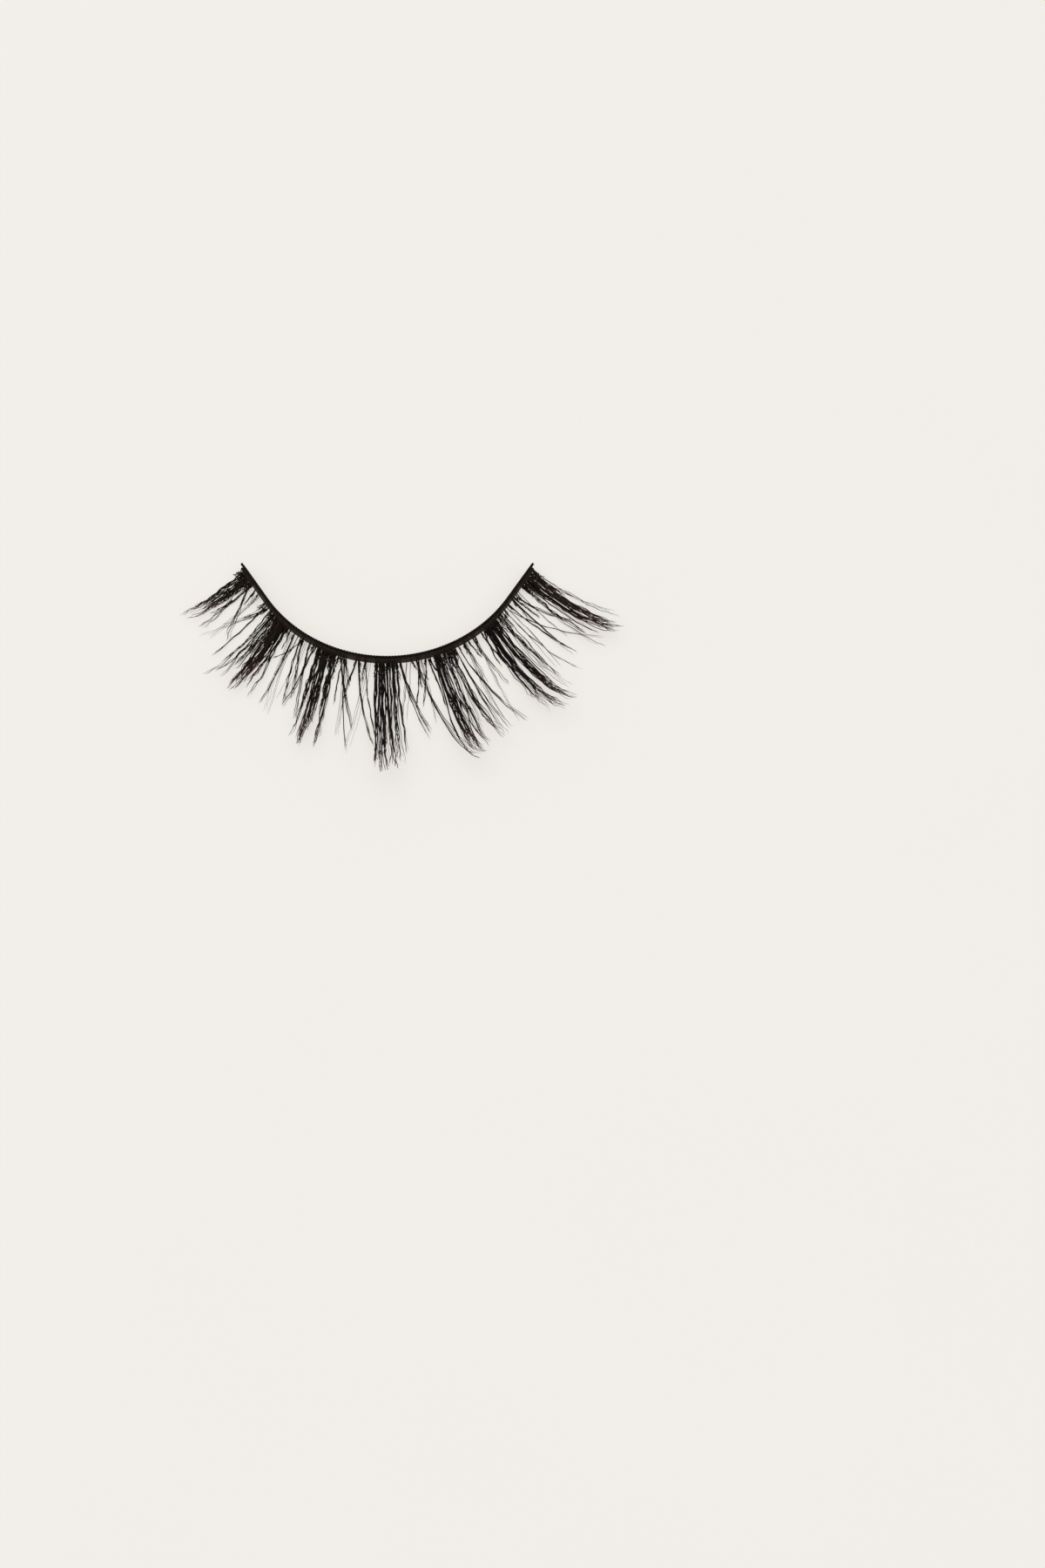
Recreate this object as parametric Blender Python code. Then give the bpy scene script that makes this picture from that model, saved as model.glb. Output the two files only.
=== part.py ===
"""False eyelash strip: a curved cotton band with its edge thread, seven lash locks and six wisp tufts.

Metres, +Z up. The strip rests on its band's lower edge and on the bellies of its hair. The origin is the
middle of the band's underside. -Y points the way the lashes point, +X towards the outer corner of the eye.
"""

import math
from collections import namedtuple

import bmesh
import bpy
from mathutils import Vector

# Band: a flat strip standing on its edge, bent round the eyelid, with a short straight run at each end
BAND_LENGTH = 0.0346  # along the inner face, corner to corner
BAND_RADIUS = 0.0134  # of the inner face
BAND_END_RUN = 0.0040  # the straight run
BAND_HEIGHT = 0.0010
BAND_THICKNESS = 0.00035
BAND_CHAMFER = 0.00008  # along both top edges
BAND_FACETS = 29  # round the bend, odd so that one facet is square to +Y

# Thread: lies on the band's top edge and runs past both of its ends
THREAD_DIAMETER = 0.00028
THREAD_OVERHANG = 0.00035
THREAD_SIDES = 8

# Feet: the knotted hair roots, a pad under each lock or tuft, side by side on the band's outer face
FOOT_THICKNESS = 0.00032
FOOT_LIFT = 0.00018  # from the floor to the underside of a foot
FOOT_BELOW_TOP = 0.00010  # from the band's top down to the top of a foot
FOOT_SPACING = 0.00012  # between two feet
FOOT_FACETS = 3
TUFT_TO_LOCK = 1.55  # width of a tuft's place on the band over that of a lock's
SEAT_GAP = 0.00005  # between the band and what is seated on it

# Hair
LOCK_LENGTH = 0.0152  # of the longest lock, along its curve
LOCK_DEPTH = 0.00040  # of a lock over its belly
WISP_LENGTH = 0.0130  # of the longest wisp, along its curve
WISP_DEPTH = 0.00020
BELLY_DISTANCE = 0.0030  # along the hair, from its root to where it touches the floor
TIP_CURL = math.radians(60)  # pitch at the tip of the longest lock
CURL_POWER = 1.25  # over 1, a hair curls more towards its tip
SIDE_BEND = math.radians(5)  # turn towards the outer corner, gained along the longest lock
PATH_STEPS = 48
TIP_SHARE = 0.06  # a strand's tip as a share of its root

# A lock, from the inner corner to the outer one: its length as a share of LOCK_LENGTH, and how many degrees
# it leans from the band's own normal towards the outer corner
Lock = namedtuple("Lock", "length lean")
LOCKS = (
    Lock(length=0.50, lean=6.0),
    Lock(length=0.66, lean=13.5),
    Lock(length=0.84, lean=11.5),
    Lock(length=1.00, lean=1.5),
    Lock(length=0.98, lean=-5.0),
    Lock(length=0.97, lean=-12.5),
    Lock(length=0.88, lean=-10.0),
)
# Length of each tuft's longest wisp as a share of WISP_LENGTH: one tuft between each two locks
TUFT_SHARES = (0.60, 0.74, 0.88, 0.97, 1.00, 0.96)

# A strand: its places across its foot at root and tip, from -1 to 1, how deep in the foot it starts as a
# share of the foot's thickness, its length as a share of its lock's or tuft's, its half width as a share of
# half its foot, and how far its tip rises over the common curve as a share of its length
Strand = namedtuple("Strand", "root tip seat length width rise")
LOCK_STRANDS = (
    Strand(root=-0.67, tip=-0.70, seat=0.60, length=0.85, width=0.32, rise=0.000),
    Strand(root=-0.23, tip=-0.26, seat=0.40, length=1.00, width=0.34, rise=0.015),
    Strand(root=0.23, tip=0.22, seat=0.60, length=0.95, width=0.34, rise=0.000),
    Strand(root=0.67, tip=0.66, seat=0.40, length=0.88, width=0.32, rise=0.020),
)
TUFT_STRANDS = (
    Strand(root=-0.84, tip=-0.50, seat=0.40, length=0.76, width=0.06, rise=0.00),
    Strand(root=-0.58, tip=-0.84, seat=0.60, length=1.00, width=0.06, rise=0.02),
    Strand(root=-0.16, tip=0.18, seat=0.40, length=0.92, width=0.06, rise=0.00),
    Strand(root=0.22, tip=-0.14, seat=0.60, length=0.80, width=0.06, rise=0.02),
    Strand(root=0.64, tip=0.52, seat=0.40, length=1.00, width=0.06, rise=0.00),
    Strand(root=0.88, tip=0.84, seat=0.60, length=0.86, width=0.06, rise=0.03),
)

# Corners of a strand's section as shares of its half width and half depth: pointed sides, flat top
RIM = ((1.0, 0.0), (0.5, 1.0), (-0.5, 1.0), (-1.0, 0.0), (-0.5, -1.0), (0.5, -1.0))

# Sections along a strand: place as a share of its length, then width and depth as shares of the named ones
Section = namedtuple("Section", "at width depth")
SECTIONS = (
    Section(at=0.00, width=0.92, depth=0.90),
    Section(at=0.11, width=1.00, depth=1.00),
    Section(at=0.24, width=0.98, depth=1.00),
    Section(at=0.40, width=0.90, depth=1.00),
    Section(at=0.56, width=0.76, depth=0.95),
    Section(at=0.72, width=0.54, depth=0.75),
    Section(at=0.87, width=0.30, depth=0.45),
    Section(at=1.00, width=TIP_SHARE, depth=2 * TIP_SHARE),
)

Finish = namedtuple("Finish", "name colour roughness")
COTTON = Finish("brown_black_cotton", (0.020, 0.013, 0.009, 1.0), 0.75)
THREAD = Finish("black_thread", (0.006, 0.006, 0.006, 1.0), 0.55)
HAIR = Finish("black_fibre", (0.010, 0.008, 0.007, 1.0), 0.35)

BEND_RUN = BAND_LENGTH / 2 - BAND_END_RUN  # from the middle of the band to the start of its straight run
ARC_CENTRE_Y = BAND_RADIUS + BAND_THICKNESS / 2
FOOT_FACE = BAND_THICKNESS + SEAT_GAP  # offset of a foot's inner face from the band's inner face
FOOT_TOP = BAND_HEIGHT - FOOT_BELOW_TOP
ROOT_HEIGHT = (FOOT_LIFT + FOOT_TOP) / 2
LOCK_PLACE = BAND_LENGTH / (len(LOCKS) + len(TUFT_SHARES) * TUFT_TO_LOCK)
TUFT_PLACE = LOCK_PLACE * TUFT_TO_LOCK


def clear_scene():
    """Empty the scene."""
    for obj in list(bpy.data.objects):
        bpy.data.objects.remove(obj)


def material_of(finish):
    """The Principled material of a finish, made once."""
    made = bpy.data.materials.get(finish.name)
    if made is None:
        made = bpy.data.materials.new(finish.name)
        made.use_nodes = True
        shader = made.node_tree.nodes["Principled BSDF"]
        shader.inputs["Base Color"].default_value = finish.colour
        shader.inputs["Roughness"].default_value = finish.roughness
        made.diffuse_color = finish.colour
    return made


def skinned(name, rings, finish):
    """An object whose closed surface runs through rings of points, with a flat cap at each end."""
    mesh_data = bmesh.new()
    corners = [[mesh_data.verts.new(point) for point in ring] for ring in rings]
    for near, far in zip(corners, corners[1:]):
        for k in range(len(near)):
            after = (k + 1) % len(near)
            mesh_data.faces.new((near[k], near[after], far[after], far[k]))
    mesh_data.faces.new(corners[0])
    mesh_data.faces.new(corners[-1])
    bmesh.ops.recalc_face_normals(mesh_data, faces=mesh_data.faces)
    mesh = bpy.data.meshes.new(name)
    mesh_data.to_mesh(mesh)
    mesh_data.free()
    mesh.shade_smooth()
    mesh.set_sharp_from_angle(angle=math.radians(40))
    mesh.materials.append(material_of(finish))
    obj = bpy.data.objects.new(name, mesh)
    bpy.context.scene.collection.objects.link(obj)
    return obj


def normal_angle(along):
    """Angle from -Y of the band's outward normal, at a length along the band from its middle."""
    return max(-BEND_RUN, min(BEND_RUN, along)) / BAND_RADIUS


def plan_point(along, offset, height):
    """A point at a length along the band from its middle and an offset outwards from its inner face."""
    angle = normal_angle(along)
    past_bend = along - angle * BAND_RADIUS
    radius = BAND_RADIUS + offset
    x = radius * math.sin(angle) + past_bend * math.cos(angle)
    y = ARC_CENTRE_Y - radius * math.cos(angle) + past_bend * math.sin(angle)
    return Vector((x, y, height))


def swept(name, profile, stations, finish):
    """A profile of (offset, height) pairs, swept along the band through the given lengths along it."""
    rings = [[plan_point(along, offset, height) for offset, height in profile] for along in stations]
    return skinned(name, rings, finish)


def whole_band_stations(overhang):
    """Lengths along the whole band, closely spaced round its bend, with an overhang past each end."""
    bend = [BEND_RUN * (2 * k / BAND_FACETS - 1) for k in range(BAND_FACETS + 1)]
    end = BAND_LENGTH / 2 + overhang
    return [-end, *bend, end]


def band_profile():
    """The strip's section, with its two top edges chamfered."""
    shoulder = BAND_HEIGHT - BAND_CHAMFER
    return (
        (0.0, 0.0),
        (BAND_THICKNESS, 0.0),
        (BAND_THICKNESS, shoulder),
        (BAND_THICKNESS - BAND_CHAMFER, BAND_HEIGHT),
        (BAND_CHAMFER, BAND_HEIGHT),
        (0.0, shoulder),
    )


def thread_profile():
    """A round section that lies on the middle of the band's top edge."""
    radius = THREAD_DIAMETER / 2
    offset, height = BAND_THICKNESS / 2, BAND_HEIGHT + SEAT_GAP + radius
    turns = [2 * math.pi * k / THREAD_SIDES for k in range(THREAD_SIDES)]
    return [(offset + radius * math.cos(turn), height + radius * math.sin(turn)) for turn in turns]


def foot_profile():
    """The section of the knotted roots, against the band's outer face and sloping off at the top."""
    outer = FOOT_FACE + FOOT_THICKNESS
    return (
        (FOOT_FACE, FOOT_LIFT),
        (outer, FOOT_LIFT),
        (outer, ROOT_HEIGHT),
        (FOOT_FACE + FOOT_THICKNESS / 2, FOOT_TOP),
        (FOOT_FACE, FOOT_TOP),
    )


def lean_at(along):
    """Lean of the hair at a length along the band, evenly blended from each lock to the next."""
    place = (along + (BAND_LENGTH - LOCK_PLACE) / 2) / (LOCK_PLACE + TUFT_PLACE)
    k = max(0, min(len(LOCKS) - 2, math.floor(place)))
    blend = place - k
    return math.radians(LOCKS[k].lean * (1 - blend) + LOCKS[k + 1].lean * blend)


def pitch_at(at, root_pitch, belly):
    """Pitch over the floor at a length along a hair: down to the belly, then up in a curl."""
    if at < belly:
        return -root_pitch * (1 - at / belly)
    return TIP_CURL * ((at - belly) / (LOCK_LENGTH - BELLY_DISTANCE)) ** CURL_POWER


def curl_path(length, depth, rise):
    """Side view of a strand, in even steps along it: a list of (reach, height, pitch)."""
    belly = min(BELLY_DISTANCE, length / 2)
    root_pitch = math.atan(2 * (ROOT_HEIGHT - depth / 2) / belly)
    step = length / PATH_STEPS
    reach, height = 0.0, ROOT_HEIGHT
    path = []
    for k in range(PATH_STEPS + 1):
        lift = 2 * rise * k / PATH_STEPS
        path.append((reach, max(height, depth / 2), pitch_at(k * step, root_pitch, belly) + lift))
        pitch = pitch_at((k + 0.5) * step, root_pitch, belly) + lift
        reach += step * math.cos(pitch)
        height += step * math.sin(pitch)
    return path


def fan_point(along, seat, reach, height):
    """A point out from the strand's seat in its foot, in the hair's direction, and that direction there."""
    heading = normal_angle(along) + lean_at(along)
    turn = SIDE_BEND / LOCK_LENGTH  # for each metre of reach
    end = heading + turn * reach
    x = (math.cos(heading) - math.cos(end)) / turn
    y = (math.sin(heading) - math.sin(end)) / turn
    return plan_point(along, FOOT_FACE + FOOT_THICKNESS * (1 - seat), height) + Vector((x, y, 0.0)), end


def strand_rings(strand, centre, half_foot, length, depth):
    """Rings of points round one tapered strand, from its root to its tip."""
    path = curl_path(length * strand.length, depth, strand.rise)
    rings = []
    for section in SECTIONS:
        reach, height, pitch = path[round(section.at * PATH_STEPS)]
        place = strand.root + (strand.tip - strand.root) * section.at
        middle, heading = fan_point(centre + place * half_foot, strand.seat, reach, height)
        half_width = strand.width * section.width * half_foot
        side = fan_point(centre + place * half_foot + half_width, strand.seat, reach, height)[0] - middle
        across = Vector((math.cos(heading), math.sin(heading), 0.0)) * side.length
        slope = Vector((-math.sin(heading), math.cos(heading), 0.0)) * math.sin(pitch)
        over = (slope + Vector((0.0, 0.0, math.cos(pitch)))) * depth / 2 * section.depth
        rings.append([middle + across * side_share + over * top_share for side_share, top_share in RIM])
    return rings


def mirrored(strands):
    """The same strands, left for right."""
    return [strand._replace(root=-strand.root, tip=-strand.tip) for strand in strands]


def hair_piece(name, strands, centre, place, length, depth):
    """A foot with its strands, joined by Boolean unions into one body.

    The solver is MANIFOLD, because EXACT loses whole strands where two of them meet at a slight angle.
    """
    half_foot = (place - FOOT_SPACING) / 2
    stations = [centre + half_foot * (2 * k / FOOT_FACETS - 1) for k in range(FOOT_FACETS + 1)]
    piece = swept(name, foot_profile(), stations, HAIR)
    for number, strand in enumerate(strands, start=1):
        rings = strand_rings(strand, centre, half_foot, length, depth)
        helper = skinned(f"{name}_strand_{number}", rings, HAIR)
        helper.hide_render = True
        helper.display_type = "WIRE"
        union = piece.modifiers.new(f"join_{number}", "BOOLEAN")
        union.operation = "UNION"
        union.solver = "MANIFOLD"
        union.object = helper
    return piece


def build_band():
    """The cotton band, and the thread on its top edge."""
    swept("band", band_profile(), whole_band_stations(0.0), COTTON)
    swept("edge_thread", thread_profile(), whole_band_stations(THREAD_OVERHANG), THREAD)


def build_hair():
    """The locks with the tufts between them, from the inner corner to the outer one, filling the band."""
    start = -(BAND_LENGTH - LOCK_PLACE) / 2
    for k, lock in enumerate(LOCKS):
        centre = start + k * (LOCK_PLACE + TUFT_PLACE)
        strands = mirrored(LOCK_STRANDS) if k % 2 else LOCK_STRANDS
        name = f"lash_lock_{k + 1}"
        hair_piece(name, strands, centre, LOCK_PLACE, LOCK_LENGTH * lock.length, LOCK_DEPTH)
    for k, share in enumerate(TUFT_SHARES):
        centre = start + (k + 0.5) * (LOCK_PLACE + TUFT_PLACE)
        strands = mirrored(TUFT_STRANDS) if k % 2 else TUFT_STRANDS
        hair_piece(f"wisp_tuft_{k + 1}", strands, centre, TUFT_PLACE, WISP_LENGTH * share, WISP_DEPTH)


clear_scene()
build_band()
build_hair()
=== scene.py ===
"""The false eyelash strip, dressed: its hairs, cotton band and twisted thread, in a plain pale studio.

Metres, +Z up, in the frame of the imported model. The strip rests on its band's lower edge and on the bellies
of its hair. -Y points the way the lashes point, and +X towards the outer corner of the eye. The band's places
are lengths along its inner face from its middle, negative towards the inner corner.
"""

import logging
import math
from collections.abc import Callable
from dataclasses import dataclass
from enum import Enum

import bmesh
import bpy
import numpy as np
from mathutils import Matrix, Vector


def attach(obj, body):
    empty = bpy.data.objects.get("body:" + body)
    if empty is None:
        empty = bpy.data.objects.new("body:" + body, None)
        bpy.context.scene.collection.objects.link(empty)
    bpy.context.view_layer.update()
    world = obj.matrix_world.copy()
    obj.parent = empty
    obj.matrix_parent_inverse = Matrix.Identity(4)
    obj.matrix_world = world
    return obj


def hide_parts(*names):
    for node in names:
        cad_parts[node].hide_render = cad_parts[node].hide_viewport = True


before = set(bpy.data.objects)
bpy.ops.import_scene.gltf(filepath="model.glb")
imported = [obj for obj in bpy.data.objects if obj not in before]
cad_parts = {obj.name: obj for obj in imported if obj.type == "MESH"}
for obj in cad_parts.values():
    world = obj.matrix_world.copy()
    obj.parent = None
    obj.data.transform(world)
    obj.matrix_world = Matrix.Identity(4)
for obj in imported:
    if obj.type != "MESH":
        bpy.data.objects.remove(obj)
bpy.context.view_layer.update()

Array = np.ndarray
Colour = tuple[float, float, float, float]
BODY = "root"
HAIR_MAP = "hair"
LEAST_TURN = 0.001  # radians a metre, which keeps a straight hair's arc from dividing by zero
log = logging.getLogger("lash_strip")


class Slot(Enum):
    """The record's material slots."""

    COTTON = "band_cotton"
    THREAD = "thread"
    FIBRE = "lash_fibre"


def linear(hex_colour: str) -> Colour:
    """An sRGB hex colour as linear light.

    Args:
        hex_colour: six hex digits after a hash.

    Returns:
        Red, green, blue and a full alpha.
    """
    shares = [int(hex_colour[k:k + 2], 16) / 255 for k in (1, 3, 5)]
    red, green, blue = [s / 12.92 if s <= 0.04045 else ((s + 0.055) / 1.055) ** 2.4 for s in shares]
    return red, green, blue, 1.0


def add_node(
    tree: bpy.types.NodeTree, kind: str, settings: dict | None = None, links: dict | None = None
) -> bpy.types.Node:
    """Add one node with its settings and links.

    Args:
        tree: the nodes it joins.
        kind: Blender's name of the node's type.
        settings: values by the name of a property, or by the name or number of an input.
        links: the sockets that feed its inputs, by the input's name or number.

    Returns:
        The new node.
    """
    node = tree.nodes.new(kind)
    for name, value in (settings or {}).items():
        if isinstance(name, int) or name in node.inputs:
            node.inputs[name].default_value = value
        else:
            setattr(node, name, value)
    for name, source in (links or {}).items():
        tree.links.new(source, node.inputs[name])
    return node


def new_material(name: str, roughness: float, specular: float) -> tuple[bpy.types.Material, bpy.types.Node]:
    """Start a material.

    Args:
        name: the material's name.
        roughness: the shader's roughness.
        specular: the shader's specular level, 0.5 for bare plastic.

    Returns:
        The material and its Principled shader.
    """
    material = bpy.data.materials.new(name)
    material.use_nodes = True
    shader = material.node_tree.nodes["Principled BSDF"]
    shader.inputs["Roughness"].default_value = roughness
    shader.inputs["Specular IOR Level"].default_value = specular
    return material, shader


@dataclass(frozen=True)
class FibreFinish:
    """Drawn PBT fibre, dyed black and heat-curled.

    It is near black and satin, browner where a hair thins out, and brown with latex where it is tied.
    """

    name: str = "pbt_fibre_drawn"
    black: str = "#060505"
    brown: str = "#38271b"
    tip_brown: str = "#4c3322"
    latex: str = "#2b2019"
    brown_from: float = 0.62  # share along a hair's map where its tip starts to turn brown
    roughness: float = 0.42
    specular: float = 0.10

    def material(self) -> bpy.types.Material:
        """The fibre's material, which reads each hair's own shade and the share along it from the hair's map.

        Returns:
            The material.
        """
        material, shader = new_material(self.name, self.roughness, self.specular)
        tree = material.node_tree
        place = add_node(tree, "ShaderNodeUVMap", {"uv_map": HAIR_MAP})
        part = add_node(tree, "ShaderNodeSeparateXYZ", links={0: place.outputs["UV"]})
        body = add_node(
            tree, "ShaderNodeMix", {"data_type": "RGBA", 6: linear(self.black), 7: linear(self.brown)},
            {0: part.outputs["X"]})
        tipward = add_node(
            tree, "ShaderNodeMapRange", {"From Min": self.brown_from, "From Max": 1.0},
            {0: part.outputs["Y"]})
        thinned = add_node(
            tree, "ShaderNodeMix", {"data_type": "RGBA", 7: linear(self.tip_brown)},
            {0: tipward.outputs["Result"], 6: body.outputs[2]})
        rootward = add_node(
            tree, "ShaderNodeMapRange", {"From Min": 0.0, "From Max": HairShape.tied_share},
            {0: part.outputs["Y"]})
        whole = add_node(
            tree, "ShaderNodeMix", {"data_type": "RGBA", 6: linear(self.latex)},
            {0: rootward.outputs["Result"], 7: thinned.outputs[2]})
        tree.links.new(whole.outputs[2], shader.inputs["Base Color"])
        return material


@dataclass(frozen=True)
class CottonFinish:
    """Woven cotton tape, dyed brown-black and stiffened with latex: dull, mottled and finely grained."""

    name: str = "cotton_tape_dyed"
    dark: str = "#1d150f"
    light: str = "#3d2e22"
    rib_spacing: float = 0.00016  # between the threads of the weave
    rib_depth: float = 0.00002
    mottle: float = 0.0009  # patches where the latex lies thicker
    roughness: float = 0.62
    specular: float = 0.10

    def material(self) -> bpy.types.Material:
        """The tape's material.

        Returns:
            The material.
        """
        material, shader = new_material(self.name, self.roughness, self.specular)
        tree = material.node_tree
        place = add_node(tree, "ShaderNodeTexCoord")
        mottle = add_node(
            tree, "ShaderNodeTexNoise", {"Scale": 1 / self.mottle, "Detail": 4.0, "Roughness": 0.6},
            {"Vector": place.outputs["Object"]})
        grain = add_node(
            tree, "ShaderNodeTexNoise", {"Scale": 1 / self.rib_spacing, "Detail": 2.0},
            {"Vector": place.outputs["Object"]})
        colour = add_node(
            tree, "ShaderNodeMix", {"data_type": "RGBA", 6: linear(self.dark), 7: linear(self.light)},
            {0: mottle.outputs["Fac"]})
        bump = add_node(
            tree, "ShaderNodeBump", {"Strength": 0.5, "Distance": self.rib_depth},
            {"Height": grain.outputs["Fac"]})
        tree.links.new(colour.outputs[2], shader.inputs["Base Color"])
        tree.links.new(bump.outputs["Normal"], shader.inputs["Normal"])
        return material


@dataclass(frozen=True)
class ThreadFinish:
    """Spun polyester thread, dyed black: near black, with a faint gloss on each ply."""

    name: str = "polyester_thread_spun"
    dark: str = "#050505"
    light: str = "#17130f"
    fibre_width: float = 0.00006  # a few fibres together, because one of 0.015 mm is too fine to show
    fibre_depth: float = 0.00001
    roughness: float = 0.48
    specular: float = 0.12

    def material(self) -> bpy.types.Material:
        """The thread's material.

        Returns:
            The material.
        """
        material, shader = new_material(self.name, self.roughness, self.specular)
        tree = material.node_tree
        place = add_node(tree, "ShaderNodeTexCoord")
        fibre = add_node(
            tree, "ShaderNodeTexNoise", {"Scale": 1 / self.fibre_width, "Detail": 3.0},
            {"Vector": place.outputs["Object"]})
        colour = add_node(
            tree, "ShaderNodeMix", {"data_type": "RGBA", 6: linear(self.dark), 7: linear(self.light)},
            {0: fibre.outputs["Fac"]})
        bump = add_node(
            tree, "ShaderNodeBump", {"Strength": 0.6, "Distance": self.fibre_depth},
            {"Height": fibre.outputs["Fac"]})
        tree.links.new(colour.outputs[2], shader.inputs["Base Color"])
        tree.links.new(bump.outputs["Normal"], shader.inputs["Normal"])
        return material


@dataclass(frozen=True)
class OpalFinish:
    """Cast opal acrylic of a light table, faintly lit from below: even and pale, with weak shadows on it."""

    name: str = "opal_acrylic_cast"
    glow: str = "#f3efea"
    glow_share: float = 0.65
    light: str = "#989692"
    dark: str = "#969490"
    cloud: float = 0.03  # faint unevenness of the cast sheet
    roughness: float = 0.9

    def material(self) -> bpy.types.Material:
        """The floor's material.

        Returns:
            The material.
        """
        material, shader = new_material(self.name, self.roughness, 0.0)
        shader.inputs["Emission Color"].default_value = linear(self.glow)
        shader.inputs["Emission Strength"].default_value = self.glow_share
        tree = material.node_tree
        place = add_node(tree, "ShaderNodeTexCoord")
        cloud = add_node(
            tree, "ShaderNodeTexNoise", {"Scale": 1 / self.cloud, "Detail": 2.0},
            {"Vector": place.outputs["Object"]})
        colour = add_node(
            tree, "ShaderNodeMix", {"data_type": "RGBA", 6: linear(self.dark), 7: linear(self.light)},
            {0: cloud.outputs["Fac"]})
        tree.links.new(colour.outputs[2], shader.inputs["Base Color"])
        return material


@dataclass(frozen=True)
class BandLine:
    """The band's bend in plan and its section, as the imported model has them."""

    length: float = 0.0346
    radius: float = 0.0134
    end_run: float = 0.0040
    height: float = 0.0010
    thickness: float = 0.00035
    seat_gap: float = 0.00005

    def bend_run(self) -> float:
        """Length from the band's middle to the start of its straight run."""
        return self.length / 2 - self.end_run

    def normal_angle(self, along: Array) -> Array:
        """Angle from -Y of the outward normal at lengths along the band."""
        return np.clip(along, -self.bend_run(), self.bend_run()) / self.radius

    def plan(self, along: Array, offset: Array) -> tuple[Array, Array]:
        """Places in plan.

        Args:
            along: lengths along the band.
            offset: distances outwards from its inner face.

        Returns:
            The x and y of each place.
        """
        angle = self.normal_angle(along)
        past_bend = along - angle * self.radius
        radius = self.radius + offset
        x = radius * np.sin(angle) + past_bend * np.cos(angle)
        y = self.radius + self.thickness / 2 - radius * np.cos(angle) + past_bend * np.sin(angle)
        return x, y


@dataclass(frozen=True)
class Clump:
    """Hairs tied close together that run as one point.

    Places are shares of half the foot's width, from -1 to 1, carried outwards along the fan of the hair. The
    length is a share of the piece's, and the bend is in degrees towards the outer corner.
    """

    root: float
    tip: float
    length: float
    hairs: int
    wide: float = 1.0  # width at the roots, as a multiple of the piece's
    spread: float = 0.08  # of the tips, in places
    fan: float = 0.35  # 0 with all tips at the point, 1 with tips as far apart as roots
    bend: float = 0.0
    shortest: float = 0.60  # hair, as a share of the clump's length
    fine: float = 1.0  # thickness, as a multiple of the common one
    brown: float = 0.08


@dataclass(frozen=True)
class Bunch:
    """A lock or a tuft: its length as a share of the longest lock or wisp, and its clumps."""

    length: float
    clumps: tuple[Clump, ...]


# Degrees from the band's normal towards the outer corner, lock by lock from the inner corner
LOCK_LEANS = (6.0, 13.5, 11.5, 1.5, -5.0, -12.5, -10.0)

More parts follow.
